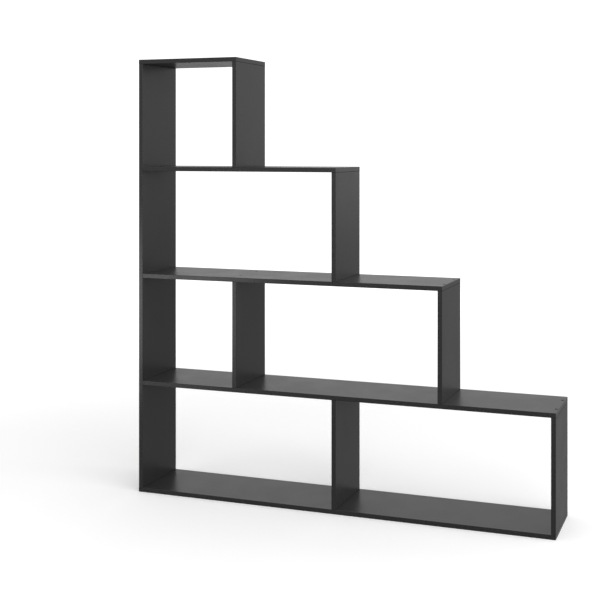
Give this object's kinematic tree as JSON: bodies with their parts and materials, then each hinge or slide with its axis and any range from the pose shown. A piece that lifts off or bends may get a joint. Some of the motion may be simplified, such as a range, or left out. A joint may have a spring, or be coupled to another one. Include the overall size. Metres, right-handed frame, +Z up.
{
  "type": "room divider bookcase",
  "caption": "Free-standing stepped bookcase of thin dark boards, open at the front and the back, with rows of compartments that get shorter towards the top",
  "frame": {"origin": "on the floor, in the middle of the overall width and depth", "axes": "+X runs to the right, towards the low end of the steps, +Y from the front to the back, +Z up"},
  "size_m": [1.55, 0.24, 1.6],
  "materials": {
    "board": "matt melamine",
    "screw": "dark coated steel",
    "tongue": "raw hardboard"
  },
  "bodies": {
    "root": {"bottom_board": "board", "left_side_panel": "board", "shelf_1": "board", "shelf_2": "board", "shelf_3": "board", "top_board": "board", "row_1_divider": "board", "row_1_right_panel": "board", "row_2_divider": "board", "row_2_right_panel": "board", "row_3_right_panel": "board", "row_4_right_panel": "board", "screws_row_1_right_panel_top": "screw", "screws_row_2_divider_top": "screw", "screws_row_2_right_panel_top": "screw", "screws_row_3_right_panel_top": "screw", "screws_row_4_right_panel_top": "screw", "screws_left_side_panel_top": "screw", "screws_shelf_1_left_end": "screw", "screws_shelf_2_left_end": "screw", "screws_shelf_3_left_end": "screw", "tongue_left_side_panel_foot": "tongue", "tongue_row_1_divider_foot": "tongue", "tongue_row_1_right_panel_foot": "tongue", "tongue_row_2_divider_foot": "tongue", "tongue_row_2_right_panel_foot": "tongue", "tongue_row_3_right_panel_foot": "tongue", "tongue_row_4_right_panel_foot": "tongue", "tongue_row_1_divider_top": "tongue"}
  },
  "joints": []
}
